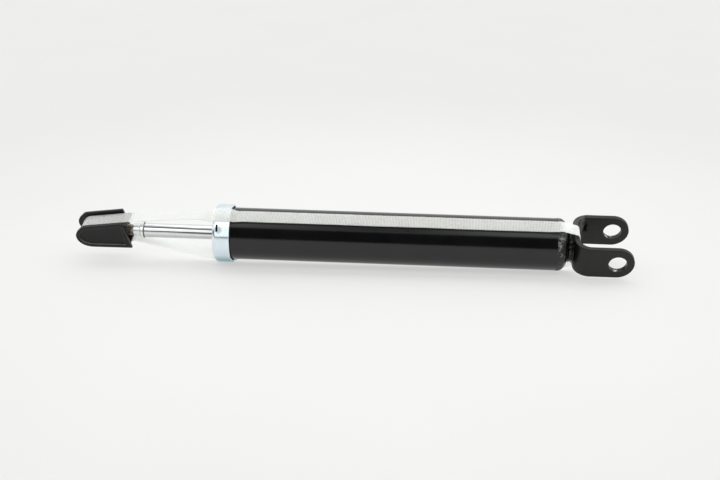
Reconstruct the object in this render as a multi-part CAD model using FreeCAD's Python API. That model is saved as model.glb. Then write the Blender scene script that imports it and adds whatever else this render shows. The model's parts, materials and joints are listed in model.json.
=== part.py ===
import FreeCAD, Part
import math
import os

from FreeCAD import Vector

os.makedirs("parts", exist_ok=True)

# Telescopic twin-tube gas shock absorber with a stud at the rod end and a
# stamped fork at the tube end, tied shut by a flat shipping strap that runs
# over a plastic saddle on the stud and through the fork.
# Origin: centre of the fork's bolt holes. +X runs from the rod end to the
# fork, +Y along the bolt, +Z up. Everything turned shares the X axis.
# START is a piece's face towards the stud (-X), END the one towards the fork.
# Near is -Y, far is +Y.

# ---------------------------------------------------------------- dimensions
FIT = 0.02              # gap left between touching pieces

# fork
BOLT_HOLE_R = 7.7
EAR_R = 14.4            # half width of the ears and their end radius
EAR_CENTRE_X = -0.3     # centre of the ear's end radius
FORK_HALF = 24.75       # half of the outer width over the ears
FORK_T = 4.2            # plate thickness
WEB_X = -36.0           # outer face of the web
BEND_R = 14.0           # outer bend radius
FORK_BLANK_X = 20.0     # folded plate's end before the ears are rounded
FORK_RIM_R = 0.7        # radius on the sheared outer edges

# reserve tube and bottom closure
TUBE_R = 22.5
TUBE_T = 1.5
TUBE_RI = TUBE_R - TUBE_T
TUBE_START = -341.3     # rolled end under the bump cap
TUBE_END = -50.5        # welded end
ROLL_R = 3.0            # outer radius of the rolled corner
ROLL_RI = 1.2           # inner radius of the rolled corner
ROLL_T = 1.4            # thickness of the rolled lip
ROLL_HOLE_R = 15.0
CLOSURE_FACE = -41.0    # outer face of the bottom closure
CLOSURE_T = 2.4         # crown thickness
SHOULDER_R = 8.5        # closure shoulder radius
SKIRT_START = -60.0
SKIRT_END = -48.6
SKIRT_R = TUBE_RI - FIT
SKIRT_RI = SKIRT_R - 2.0
WELD_END = -43.6        # closure weld's edge on the crown
NECK_R = 13.0

# bump cap
BUMP_R = 25.25
BUMP_T = 1.5
BUMP_RI = BUMP_R - BUMP_T
BUMP_START = -344.0
BUMP_RIM = -328.8
BUMP_CORNER = 4.0       # outer corner radius
BUMP_HOLE_R = 8.2

# pressure tube and rod guide
PRESSURE_RI, PRESSURE_RO = 13.5, 15.0
PRESSURE_START, PRESSURE_END = -322.0, -70.0
GUIDE_START = -335.6
GUIDE_NOSE = -314.0
BUSH_R = 7.6

# rod, stud and piston
ROD_R = 6.25
ROD_SHOULDER = -407.2
SHANK_R = 5.6
SEAT_R = 6.0            # under the collar ring
SHANK_START = -416.5
COLLAR_R = 7.15
COLLAR_START = -410.5
THREAD_R = 5.0
THREAD_ROOT = 4.25
THREAD_PITCH = 1.25
STUD_TIP = -447.0
PISTON_START, PISTON_END = -143.0, -127.0
PISTON_R = 13.3
BAND_R = 13.47
PIN_R = 4.0             # stepped pin that carries the piston
PIN_BORE = PIN_R + 0.03
PIN_THREAD_START = -122.0
PIN_THREAD_PITCH = 1.0
ROD_END = -113.5
NUT_FLATS = 13.0        # piston nut, across flats
NUT_START, NUT_END = -122.25, -115.0

# saddle
SADDLE_NEAR_Y = -11.8   # outer face of the near flange
SADDLE_FAR_Y = 10.5     # outer face of the far flange
GROOVE_NEAR_Y = -9.4    # strap groove, from here
GROOVE_FAR_Y = 8.6      # to here
GROOVE_DEPTH = 3.4
GROOVE_FLOOR = 1.9      # groove floor thickness
NEAR_SHIFT = 0.8        # the near flange sits this far towards the rod
FAR_SHIFT = -2.2        # the far flange sits this far towards the nose
PANEL_INSET = 3.0       # recessed panel's distance from the flange edge

# strap
STRAP_W = 13.6
STRAP_T = 0.6
# centre line of the upper run seen from above, (x, y): straight in the
# saddle, then slanting over to the near side of the tube
STRAP_LINE_UPPER = [
    (-480.0, 1.0), (-416.0, 1.0), (-344.0, -6.2), (-329.0, -6.2), (-318.0, -4.9),
    (-60.0, -4.6), (-48.0, -3.4), (-36.0, 0.0), (-24.0, 0.5)]
# the same for the lower run
STRAP_LINE_LOWER = [
    (-480.0, 1.0), (-416.0, 1.0), (-344.0, -1.2), (-60.0, -1.2), (-36.0, 0.0), (-24.0, 0.5)]

ORIGIN = Vector(0, 0, 0)
X_AXIS = Vector(1, 0, 0)
SIN_45 = math.sin(math.pi / 4)


# ------------------------------------------------------------------- helpers
def polygon(corners):
    return Part.makePolygon(corners + [corners[0]])


def revolve(wire):
    return Part.Face(wire).revolve(ORIGIN, X_AXIS, 360)


def in_xr(x, r):
    """Point of a turned profile."""
    return Vector(x, r, 0)


def turned(profile):
    """Full turn about X of a closed (x, r) polygon."""
    return revolve(polygon([in_xr(x, r) for x, r in profile]))


def outline_wire(steps, place):
    """Closed wire. A step is an end point, or (middle, end) for an arc."""
    edges = []
    here = steps[0]
    for step in steps[1:] + [steps[0]]:
        if isinstance(step[0], tuple):
            middle, end = step
            edges.append(Part.Arc(place(*here), place(*middle), place(*end)).toShape())
        else:
            end = step
            edges.append(Part.makeLine(place(*here), place(*end)))
        here = end
    return Part.Wire(Part.__sortEdges__(edges))


def corner_middle(centre_x, centre_side, radius, side=1):
    """Middle of a quarter arc that bulges to -X and to the given side."""
    return (centre_x - radius * SIN_45, centre_side + side * radius * SIN_45)


def ring(x0, x1, inner_r, outer_r):
    return turned([(x0, inner_r), (x1, inner_r), (x1, outer_r), (x0, outer_r)])


def chamfered_ring(x0, x1, inner_r, outer_r, chamfer):
    """Ring with chamfered outer edges."""
    return turned([
        (x0, inner_r), (x1, inner_r), (x1, outer_r - chamfer),
        (x1 - chamfer, outer_r), (x0 + chamfer, outer_r), (x0, outer_r - chamfer)])


def disc_stack(bore_r, discs):
    """Separate rings on one bore, from (start, end, outer radius) rows."""
    return [ring(x0, x1, bore_r, outer_r) for x0, x1, outer_r in discs]


def cylinder(x0, x1, radius, y=0, z=0):
    return Part.makeCylinder(radius, x1 - x0, Vector(x0, y, z), X_AXIS)


def box(x0, x1, y0, y1, z0, z1):
    return Part.makeBox(x1 - x0, y1 - y0, z1 - z0, Vector(x0, y0, z0))


def hole_circle(x0, x1, hole_r, circle_r, count, first_angle=0.0):
    """Cutters for holes along X, evenly spaced on a circle."""
    holes = []
    for i in range(count):
        angle = math.radians(first_angle + 360.0 * i / count)
        holes.append(cylinder(x0, x1, hole_r,
                              circle_r * math.cos(angle), circle_r * math.sin(angle)))
    return holes


def cut_each(shape, cutters):
    for cutter in cutters:
        shape = shape.cut(cutter)
    return shape


def save(name, shape):
    if isinstance(shape, list):
        shape = Part.makeCompound(shape)
    elif shape.ShapeType == "Compound" and len(shape.Solids) == 1:
        shape = shape.Solids[0]
    assert shape.Solids and shape.isValid(), name
    assert shape.Volume > 0, name
    shape.exportStep("parts/" + name + ".step")


# ------------------------------------------------------ tube, closure, welds
def reserve_tube():
    """Drawn tube, its -X end rolled in over the rod seal."""
    lip_inside = TUBE_START + ROLL_T
    return revolve(outline_wire([
        (TUBE_END, TUBE_RI),
        (TUBE_END, TUBE_R),
        (TUBE_START + ROLL_R, TUBE_R),
        (corner_middle(TUBE_START + ROLL_R, TUBE_R - ROLL_R, ROLL_R),
         (TUBE_START, TUBE_R - ROLL_R)),
        (TUBE_START, ROLL_HOLE_R),
        (lip_inside, ROLL_HOLE_R),
        (lip_inside, TUBE_RI - ROLL_RI),
        (corner_middle(lip_inside + ROLL_RI, TUBE_RI - ROLL_RI, ROLL_RI),
         (lip_inside + ROLL_RI, TUBE_RI)),
    ], in_xr))


SHOULDER_X = CLOSURE_FACE - SHOULDER_R      # centre of the shoulder arc
SHOULDER_Y = TUBE_R - SHOULDER_R


def shoulder_radius_at(x, extra=0.0):
    """Radius from the X axis of the shoulder, raised by extra, at x."""
    return SHOULDER_Y + math.sqrt((SHOULDER_R + extra) ** 2 - (x - SHOULDER_X) ** 2)


WELD_END_R = shoulder_radius_at(WELD_END)


def bottom_cap():
    """Pressed cup, its skirt in the tube, its crown rounded to a flat face."""
    half_angle = math.atan2(WELD_END_R - SHOULDER_Y, WELD_END - SHOULDER_X) / 2
    shoulder_middle = (SHOULDER_X + SHOULDER_R * math.cos(half_angle),
                       SHOULDER_Y + SHOULDER_R * math.sin(half_angle))
    crown_inside = CLOSURE_FACE - CLOSURE_T
    return revolve(outline_wire([
        (SKIRT_START, SKIRT_RI),
        (SKIRT_START, SKIRT_R),
        (SKIRT_END, SKIRT_R),
        (WELD_END, WELD_END_R),
        (shoulder_middle, (CLOSURE_FACE, SHOULDER_Y)),
        (CLOSURE_FACE, 0.0),
        (crown_inside, 0.0),
        (crown_inside, SHOULDER_Y - 0.5),
        ((-45.3, 17.1), (-49.4, SKIRT_RI)),
    ], in_xr))


def closure_weld():
    """Bead that fills the step between tube end and crown."""
    middle_x = -47.2
    return revolve(outline_wire([
        (TUBE_END + FIT, TUBE_RI + FIT),
        (TUBE_END + FIT, TUBE_R),
        ((middle_x, shoulder_radius_at(middle_x, 0.4)), (WELD_END - FIT, WELD_END_R + 0.05)),
        (SKIRT_END, TUBE_RI + FIT),
    ], in_xr))


save("reserve_tube", reserve_tube())
save("bottom_cap", bottom_cap())
save("closure_weld", closure_weld())

# Neck boss between closure and fork web, and the fillet bead around it.
save("fork_neck", cylinder(CLOSURE_FACE + 0.01, WEB_X - 0.01, NECK_R))
save("neck_weld", turned([
    (CLOSURE_FACE + FIT, NECK_R + FIT), (WEB_X - FIT, NECK_R + FIT), (WEB_X - FIT, 15.6),
    (-36.6, 15.5), (-37.4, 14.9), (-38.3, 14.5), (-39.2, 14.55), (-40.2, 14.35),
    (CLOSURE_FACE + FIT, 13.9)]))


# ---------------------------------------------------------------------- fork
def fork_rim_edges(fork):
    """Outer edges: around the ears, and along both sides of bends and web."""
    web_inside = WEB_X + FORK_T
    rim = []
    for edge in fork.Edges:
        bounds = edge.BoundBox
        flat_in_y = bounds.YMax - bounds.YMin < 0.1
        flat_in_z = bounds.ZMax - bounds.ZMin < 0.1
        if bounds.XMax > 12 and flat_in_y and abs(abs(bounds.YMin) - FORK_HALF) < 0.1:
            rim.append(edge)
        elif flat_in_z and abs(abs(bounds.ZMin) - EAR_R) < 0.1:
            widths = [abs(vertex.Point.y) for vertex in edge.Vertexes]
            ends_outside = all(
                abs(y - FORK_HALF) < 0.1 or abs(y - (FORK_HALF - BEND_R)) < 0.1
                for y in widths)
            inner_line = (abs(bounds.XMin - web_inside) < 0.1
                          and bounds.XMax - bounds.XMin < 0.1)
            on_outside = (bounds.XMin < WEB_X + 0.1
                          or abs(abs(bounds.YMin) - FORK_HALF) < 0.1
                          or abs(abs(bounds.YMax) - FORK_HALF) < 0.1)
            if ends_outside and not inner_line and on_outside:
                rim.append(edge)
    return rim


def make_fork():
    """Plate folded to a U, ears rounded about the bolt."""
    bend_ri = BEND_R - FORK_T
    bend_x = WEB_X + BEND_R
    bend_y = FORK_HALF - BEND_R
    ear_inside = FORK_HALF - FORK_T
    web_inside = WEB_X + FORK_T
    folded = outline_wire([
        (FORK_BLANK_X, -FORK_HALF),
        (bend_x, -FORK_HALF),
        (corner_middle(bend_x, -bend_y, BEND_R, -1), (WEB_X, -bend_y)),
        (WEB_X, bend_y),
        (corner_middle(bend_x, bend_y, BEND_R), (bend_x, FORK_HALF)),
        (FORK_BLANK_X, FORK_HALF),
        (FORK_BLANK_X, ear_inside),
        (bend_x, ear_inside),
        (corner_middle(bend_x, bend_y, bend_ri), (web_inside, bend_y)),
        (web_inside, -bend_y),
        (corner_middle(bend_x, -bend_y, bend_ri, -1), (bend_x, -ear_inside)),
        (FORK_BLANK_X, -ear_inside),
    ], lambda x, y: Vector(x, y, -EAR_R))
    fork = Part.Face(folded).extrude(Vector(0, 0, 2 * EAR_R))

    side_view = outline_wire([
        (WEB_X - 2, -EAR_R),
        (EAR_CENTRE_X, -EAR_R),
        ((EAR_CENTRE_X + EAR_R, 0), (EAR_CENTRE_X, EAR_R)),
        (WEB_X - 2, EAR_R),
    ], lambda x, z: Vector(x, -40, z))
    fork = fork.common(Part.Face(side_view).extrude(Vector(0, 80, 0)))
    fork = fork.cut(Part.makeCylinder(BOLT_HOLE_R, 80, Vector(0, -40, 0), Vector(0, 1, 0)))
    fork = fork.Solids[0]

    # the sheared outer edges are broken by a small radius; they stay sharp
    # if the fillet fails or splits the solid
    try:
        rounded = fork.makeFillet(FORK_RIM_R, fork_rim_edges(fork))
        if rounded.isValid() and len(rounded.Solids) == 1:
            fork = rounded.Solids[0]
    except Exception:
        pass
    return fork


save("fork", make_fork())


# ------------------------------------------------------------------ bump cap
def bump_cap():
    """Drawn cup over the tube's rolled end, held by six ribs in its wall."""
    corner_x = BUMP_START + BUMP_CORNER
    corner_r = BUMP_R - BUMP_CORNER
    cap = revolve(outline_wire([
        (BUMP_START, BUMP_HOLE_R),
        (BUMP_START, corner_r),
        (corner_middle(corner_x, corner_r, BUMP_CORNER), (corner_x, BUMP_R)),
        (BUMP_RIM, BUMP_R),
        (BUMP_RIM, BUMP_RI),
        (corner_x, BUMP_RI),
        (corner_middle(corner_x, corner_r, BUMP_CORNER - BUMP_T),
         (BUMP_START + BUMP_T, corner_r)),
        (BUMP_START + BUMP_T, BUMP_HOLE_R),
    ], in_xr))
    tube_space = cylinder(BUMP_START + BUMP_T, BUMP_RIM + 5, TUBE_R + FIT)
    for i in range(6):
        rib = box(-338.2, -330.5, -1.3, 1.3, TUBE_R - 1, BUMP_RI + 0.7).cut(tube_space)
        rib.rotate(ORIGIN, X_AXIS, 30 + 60 * i)
        cap = cap.fuse(rib)
    # drain slots through the cap's shoulder
    for i in range(3):
        slot = box(BUMP_START + 3.6, BUMP_START + 5.4, -3.1, 3.1, TUBE_R - 1.8, BUMP_R + 3)
        slot.rotate(ORIGIN, X_AXIS, 43.5 + 120 * i)
        cap = cap.cut(slot)
    return cap


save("bump_cap", bump_cap())

# ------------------------------------------- pressure tube, rod guide, seal
# All profiles below are (x, r).
save("pressure_tube", ring(PRESSURE_START, PRESSURE_END, PRESSURE_RI, PRESSURE_RO))

# Rod guide: sintered, flange in the reserve tube, nose in the pressure tube.
guide = turned([
    (GUIDE_START, BUSH_R + FIT), (GUIDE_NOSE, BUSH_R + FIT), (GUIDE_NOSE, 12.6),
    (GUIDE_NOSE - 0.9, PRESSURE_RI - FIT), (PRESSURE_START - FIT, PRESSURE_RI - FIT),
    (PRESSURE_START - FIT, 17.5), (-325.5, 20.2), (-326.5, TUBE_RI - FIT),
    (GUIDE_START, TUBE_RI - FIT)])
save("rod_guide", cut_each(guide, hole_circle(-340, -320, 1.3, 17.6, 6)))
save("guide_bush", ring(GUIDE_START + 1.0, GUIDE_NOSE - 1.0, ROD_R + 0.05, BUSH_R))

# Rod seal: rubber body with a lip, bonded steel washer, garter spring.
save("rod_seal", turned([
    (-339.85, 9.6), (-339.85, 14.6), (-337.9, 14.6), (-337.9, 19.4), (-335.65, 19.4),
    (-335.65, 12.5), (-335.65, 9.0), (-336.4, 6.33), (-337.2, 6.33), (-338.2, 7.2),
    (-338.6, 8.1)]))
save("seal_washer", turned([
    (-339.85, 14.65), (-337.95, 14.65), (-337.95, TUBE_RI - 1.3),
    (-338.65, TUBE_RI - 0.9), (-339.3, TUBE_RI - 1.4), (-339.85, TUBE_RI - 1.4)]))
save("seal_garter_spring", Part.makeTorus(8.15, 0.42, Vector(-339.35, 0, 0), X_AXIS))

# ---------------------------------------------------------------- base valve
# It closes the fork end of the pressure tube.
RIVET_BORE = 3.05
valve_body = turned([
    (-78.0, RIVET_BORE), (-66.0, RIVET_BORE), (-66.0, 8.0), (-64.6, 8.0), (-64.6, 16.6),
    (-62.2, 18.2), (-66.8, 18.2), (PRESSURE_END + FIT, 17.0),
    (PRESSURE_END + FIT, PRESSURE_RI - 0.03), (-76.0, PRESSURE_RI - 0.03),
    (-76.8, PRESSURE_RI - 0.8), (-76.8, 11.6), (-75.6, 11.6), (-75.6, 4.9), (-78.0, 4.9)])
valve_body = cut_each(valve_body, hole_circle(-90, -60, 1.3, 6.6, 6))
valve_body = cut_each(valve_body, hole_circle(-90, -60, 1.1, 9.9, 8, 11))
save("base_valve_body", valve_body)
save("base_check_disc", ring(-76.75, -76.25, 5.0, 11.0).cut(
    Part.makeCompound(hole_circle(-90, -60, 1.4, 6.9, 6))))
save("base_disc_stack", disc_stack(RIVET_BORE, [
    (-65.9, -65.6, 7.8), (-65.55, -65.25, 6.9), (-65.2, -64.9, 6.0)]))
save("base_valve_rivet", turned([
    (-80.6, 0), (-80.6, 4.4), (-79.9, 4.9), (-78.9, 4.9), (-78.9, 3.0), (-64.85, 3.0),
    (-64.85, 5.0), (-63.6, 5.0), (-62.6, 3.6), (-62.6, 0)]))
save("base_check_spring", turned([
    (-78.8, 5.0), (-78.5, 5.0), (-78.5, 6.8), (-77.3, 9.8), (-77.3, 10.6), (-77.6, 10.6),
    (-78.8, 7.2)]))


# ------------------------------------------------------------ rod and piston
def ringed_thread(x0, x1, root, crest, pitch):
    """(x, r) outline of a thread drawn as rings, whole pitches from x0."""
    profile = []
    count = int((x1 - x0) / pitch)
    for i in range(count):
        x = x0 + i * pitch
        profile += [(x, root), (x + 0.42 * pitch, crest), (x + 0.58 * pitch, crest)]
    profile.append((x0 + count * pitch, root))
    return profile


def piston_rod():
    """Ground barrel, pin for the piston, plain shank and rolled stud thread."""
    groove_r = ROD_R - 0.75     # groove for the rebound stop
    pin_start = PISTON_START - 3.0
    profile = [(STUD_TIP, 0), (STUD_TIP, 3.5), (STUD_TIP + 0.9, THREAD_ROOT)]
    profile += ringed_thread(STUD_TIP + 1.0, SHANK_START - 1.4,
                             THREAD_ROOT, THREAD_R, THREAD_PITCH)
    profile += [
        (SHANK_START - 0.8, THREAD_ROOT), (SHANK_START, SHANK_R), (COLLAR_START, SHANK_R),
        (COLLAR_START, SEAT_R), (ROD_SHOULDER, SEAT_R),
        (ROD_SHOULDER, ROD_R - 0.5), (ROD_SHOULDER + 0.5, ROD_R),
        (-167.6, ROD_R), (-167.6, groove_r), (-165.8, groove_r), (-165.8, ROD_R),
        (pin_start - 0.4, ROD_R), (pin_start, ROD_R - 0.4), (pin_start, PIN_R),
        (PIN_THREAD_START, PIN_R)]
    profile += ringed_thread(PIN_THREAD_START, ROD_END - 0.8,
                             PIN_R - 0.45, PIN_R, PIN_THREAD_PITCH)
    profile += [(ROD_END, PIN_R - 0.9), (ROD_END, 0)]
    return turned(profile)


save("piston_rod", piston_rod())

# Collar ring against the rod's shoulder.
save("collar_ring", chamfered_ring(
    COLLAR_START, ROD_SHOULDER - FIT, SEAT_R + FIT, COLLAR_R, 0.5))

# Rebound stop: ring crimped in the rod's groove, with a rubber ring on it.
save("rebound_stop_ring", turned([
    (-167.5, ROD_R - 0.7), (-165.9, ROD_R - 0.7), (-165.9, 9.2), (-169.0, 9.2),
    (-169.0, ROD_R + 0.03), (-167.5, ROD_R + 0.03)]))
save("rebound_bumper", chamfered_ring(-177.0, -169.05, ROD_R + 0.06, 10.4, 1.2))

# Piston: recesses in both faces, a band groove, two circles of passages.
piston = turned([
    (PISTON_START, PIN_BORE), (PISTON_END, PIN_BORE), (PISTON_END, 6.2),
    (PISTON_END - 1.2, 6.2), (PISTON_END - 1.2, 10.4), (PISTON_END, 10.4),
    (PISTON_END, 12.5), (PISTON_END - 0.8, PISTON_R), (-130.6, PISTON_R),
    (-130.6, 12.25), (-139.4, 12.25), (-139.4, PISTON_R),
    (PISTON_START + 0.8, PISTON_R), (PISTON_START, 12.5), (PISTON_START, 9.6),
    (PISTON_START + 1.2, 9.6), (PISTON_START + 1.2, 6.2), (PISTON_START, 6.2)])
piston = cut_each(piston, hole_circle(-150, -120, 1.05, 8.0, 6))
piston = cut_each(piston, hole_circle(-150, -120, 0.95, 11.1, 6, 30))
save("piston", piston)
save("compression_shims", disc_stack(PIN_BORE, [
    (-143.35, -143.05, 12.2), (-143.75, -143.4, 9.0), (-145.95, -143.8, 6.4)]))
save("rebound_shims", disc_stack(PIN_BORE, [
    (-126.95, -126.65, 10.9), (-126.6, -126.3, 9.4), (-126.25, -125.95, 8.0)]))
save("shim_spacer", turned([
    (-125.9, PIN_BORE), (-122.3, PIN_BORE), (-122.3, 5.0), (-124.9, 5.0), (-124.9, 7.2),
    (-125.9, 7.2)]))


def piston_nut():
    """Hexagon nut with its corners turned down at both faces."""
    corner_r = NUT_FLATS / math.sqrt(3)
    face_r = NUT_FLATS / 2 - 0.2
    angles = [math.radians(60 * i) for i in range(6)]
    hexagon = polygon([Vector(NUT_START, corner_r * math.cos(a), corner_r * math.sin(a))
                       for a in angles])
    nut = Part.Face(hexagon).extrude(Vector(NUT_END - NUT_START, 0, 0))
    envelope = turned([
        (NUT_START, 0), (NUT_START, face_r), (NUT_START + 1.0, corner_r + 0.2),
        (NUT_END - 1.0, corner_r + 0.2), (NUT_END, face_r), (NUT_END, 0)])
    return nut.common(envelope).cut(cylinder(NUT_START - 1, NUT_END + 1, PIN_BORE))


save("piston_nut", piston_nut())

# Piston band: slides in the pressure tube.
save("piston_band", chamfered_ring(-139.2, -130.8, 12.32, BAND_R, 0.3))


# -------------------------------------------------------------------- saddle
def spline_points(control, count, **tangents):
    """count + 1 (x, z) points on a spline through the control points."""
    curve = Part.BSplineCurve()
    curve.interpolate([Vector(x, 0, z) for x, z in control], **tangents)
    first, last = curve.FirstParameter, curve.LastParameter
    points = [curve.value(first + (last - first) * i / count) for i in range(count + 1)]
    return [(point.x, point.z) for point in points]


def xz_polygon(points, y):
    return polygon([Vector(x, y, z) for x, z in points])


def prism(points, y0, y1):
    return Part.Face(xz_polygon(points, y0)).extrude(Vector(0, y1 - y0, 0))


def inset(points, distance):
    """Wire at y = 0, inside a closed outline by the distance."""
    return xz_polygon(points, 0).makeOffset2D(-distance)


def wire_prism(wire, y0, y1):
    placed = wire.copy()
    placed.translate(Vector(0, y0, 0))
    return Part.Face(placed).extrude(Vector(0, y1 - y0, 0))


def moved(points, shift):
    return [(x + shift, z) for x, z in points]


# Flange outline, (x, z): from the bottom corner at the rod side round the
# nose (-X) to the top corner, clockwise seen from -Y.
NOSE_CONTROL = [
    (-453.0, -11.5), (-459.6, -10.3), (-464.7, -6.6), (-466.8, -1.4),
    (-465.7, 3.6), (-462.2, 7.6), (-456.8, 10.3)]
NOSE_POINTS = spline_points(NOSE_CONTROL, 48, InitialTangent=Vector(-1, 0, 0.02),
                            FinalTangent=Vector(1, 0, 0.16))
FLANGE = [(-418.5, -11.2)] + NOSE_POINTS + [(-425.2, 14.8)]


def strap_saddle():
    """Two flanges with a strap groove between, hollow, open to the rod."""
    # the flange carried on past its open side, so insets stay open there
    long_outline = [(-400.0, -11.1)] + NOSE_POINTS + [(-400.0, 18.4)]
    floor_outside = inset(long_outline, GROOVE_DEPTH)
    floor_inside = inset(long_outline, GROOVE_DEPTH + GROOVE_FLOOR)

    body = prism(FLANGE[:-1] + [(-419.8, 15.5)], GROOVE_NEAR_Y, GROOVE_FAR_Y)
    body = body.fuse(prism(moved(FLANGE, NEAR_SHIFT), SADDLE_NEAR_Y, GROOVE_NEAR_Y))
    body = body.fuse(prism(moved(FLANGE, FAR_SHIFT), GROOVE_FAR_Y, SADDLE_FAR_Y))
    # strap groove, then the hollow
    groove = box(-480, -405, GROOVE_NEAR_Y, GROOVE_FAR_Y, -40, 40).cut(
        wire_prism(floor_outside, GROOVE_NEAR_Y, GROOVE_FAR_Y))
    body = body.cut(groove)
    body = body.cut(wire_prism(floor_inside, GROOVE_NEAR_Y, GROOVE_FAR_Y))

    # shallow panel in each flange's outer face
    panel = inset(long_outline, PANEL_INSET)
    panel_limit = prism([(-500, -40), (-421.3, -40), (-428.0, 40), (-500, 40)], -30, 30)
    for y0, y1, shift in (
            (SADDLE_NEAR_Y - 1, SADDLE_NEAR_Y + 1.2, NEAR_SHIFT),
            (SADDLE_FAR_Y - 0.9, SADDLE_FAR_Y + 1, FAR_SHIFT)):
        cutter = wire_prism(panel, y0, y1).common(panel_limit)
        cutter.translate(Vector(shift, 0, 0))
        body = body.cut(cutter)

    # inside: a cross wall with a hole for the stud, and a socket for its tip
    filling = wire_prism(inset(long_outline, GROOVE_DEPTH + 0.6),
                         GROOVE_NEAR_Y - 0.4, GROOVE_FAR_Y + 0.4)
    for x0, x1 in ((-434.5, -432.3), (-449.5, -443.5)):
        wall = filling.common(box(x0, x1, -20, 20, -30, 30))
        body = body.fuse(wall.cut(cylinder(-448.2, -400, THREAD_R + 0.35)))
    return body.removeSplitter()


save("strap_saddle", strap_saddle())


# --------------------------------------------------------------------- strap
def offset_right(points, distance):
    """Offset an open polyline to its right-hand side."""
    moved_points = []
    for i, (x, z) in enumerate(points):
        before = points[max(i - 1, 0)]
        after = points[min(i + 1, len(points) - 1)]
        dx, dz = after[0] - before[0], after[1] - before[1]
        length = math.hypot(dx, dz)
        moved_points.append((x + dz / length * distance, z - dx / length * distance))
    return moved_points


def offset_loop(points, distance):
    """Offset a closed polyline to its right, with mitred corners."""
    moved_points = []
    for i, (x, z) in enumerate(points):
        normals = []
        for start, end in ((points[i - 1], points[i]),
                           (points[i], points[(i + 1) % len(points)])):
            dx, dz = end[0] - start[0], end[1] - start[1]
            length = math.hypot(dx, dz)
            normals.append((dz / length, -dx / length))
        mitre_x = normals[0][0] + normals[1][0]
        mitre_z = normals[0][1] + normals[1][1]
        scale = distance * 2.0 / (mitre_x * mitre_x + mitre_z * mitre_z)
        moved_points.append((x + mitre_x * scale, z + mitre_z * scale))
    return moved_points


def mirrored_back(points):
    """The same run below the X axis, in reverse order."""
    return [(x, -z) for x, z in reversed(points)]


def strap_loop():
    """Middle line of the strap in (x, z): out over the top, back below."""
    tube_z = TUBE_R + 0.35 + STRAP_T / 2
    cap_z = BUMP_R + 0.15 + STRAP_T / 2
    at_fork = spline_points([
        (-31.3, 2.0), (-31.3, 8.0), (-31.3, 13.4), (-31.7, 15.1), (-33.0, 16.4),
        (-35.3, 17.4), (-38.6, 19.0), (-42.8, 21.2), (-47.0, tube_z - 0.25),
        (-51.5, tube_z), (-58.0, tube_z)], 60)
    over_cap = [
        (-321.5, tube_z), (-324.0, tube_z + 0.35), (-325.6, tube_z + 1.1),
        (BUMP_RIM + 1.0, cap_z - 0.2), (BUMP_RIM - 1.0, cap_z),
        (BUMP_START + BUMP_CORNER + 0.3, cap_z), (BUMP_START + 2.9, cap_z - 0.1),
        (BUMP_START + 1.5, cap_z - 0.42)]
    in_groove = offset_right(FLANGE, GROOVE_DEPTH - STRAP_T / 2 - 0.12)
    return (at_fork + over_cap
            + [(-424.4, in_groove[-1][1])]
            + list(reversed(in_groove[1:-1]))
            + [(-416.0, in_groove[0][1])]
            + mirrored_back(over_cap) + mirrored_back(at_fork))


def strap_plan(line, z0, z1):
    """Block as wide as the strap along a line seen from above."""
    corners = [Vector(x, y - STRAP_W / 2, z0) for x, y in line]
    corners += [Vector(x, y + STRAP_W / 2, z0) for x, y in reversed(line)]
    return Part.Face(polygon(corners)).extrude(Vector(0, 0, z1 - z0))


def strap():
    """Flat woven strap, one closed loop trimmed to its slanting runs."""
    loop = strap_loop()
    outside = prism(offset_loop(loop, STRAP_T / 2), -20.0, 20.0)
    inside = prism(offset_loop(loop, -STRAP_T / 2), -20.0, 20.0)
    band = outside.cut(inside)
    upper = band.common(strap_plan(STRAP_LINE_UPPER, 0, 40))
    lower = band.common(strap_plan(STRAP_LINE_LOWER, -40, 0))
    return upper.fuse(lower).removeSplitter()


save("strap", strap())
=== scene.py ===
# A tube with a sliding rod, a fork at one end and a webbing strap looped over its length.
# The axis lies along X: the fork's bore is at the origin, across Y, and the rod runs
# towards -X past the bump cap to the saddle, where the strap turns back. Z is up.
import json
import math
import random

import bmesh
import bpy
from mathutils import Matrix, Vector, noise


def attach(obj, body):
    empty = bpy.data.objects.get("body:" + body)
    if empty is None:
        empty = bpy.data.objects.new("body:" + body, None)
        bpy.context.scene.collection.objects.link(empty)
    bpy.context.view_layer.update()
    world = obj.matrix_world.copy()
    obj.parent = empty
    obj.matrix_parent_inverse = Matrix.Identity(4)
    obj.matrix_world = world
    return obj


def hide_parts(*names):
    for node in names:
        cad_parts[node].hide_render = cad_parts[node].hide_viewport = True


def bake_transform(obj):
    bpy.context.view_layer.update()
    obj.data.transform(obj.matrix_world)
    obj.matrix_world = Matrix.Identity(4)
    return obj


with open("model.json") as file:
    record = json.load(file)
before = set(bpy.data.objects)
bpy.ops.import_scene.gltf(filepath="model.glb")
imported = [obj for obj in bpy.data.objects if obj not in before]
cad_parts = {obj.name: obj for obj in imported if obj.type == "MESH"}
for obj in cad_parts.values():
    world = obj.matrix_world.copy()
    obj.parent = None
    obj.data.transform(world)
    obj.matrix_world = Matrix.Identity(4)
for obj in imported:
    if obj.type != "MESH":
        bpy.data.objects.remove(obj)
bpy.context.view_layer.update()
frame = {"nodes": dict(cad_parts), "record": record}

NODES = frame["nodes"]
MM = 0.001
TABLE_ROLL = math.radians(16.0)  # the part's roll about its own axis as it lies
random.seed(7)

scene = bpy.context.scene
scene.view_settings.view_transform = "Standard"
scene.view_settings.look = "None"
scene.view_settings.exposure = 0.0
scene.view_settings.gamma = 1.0


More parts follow.
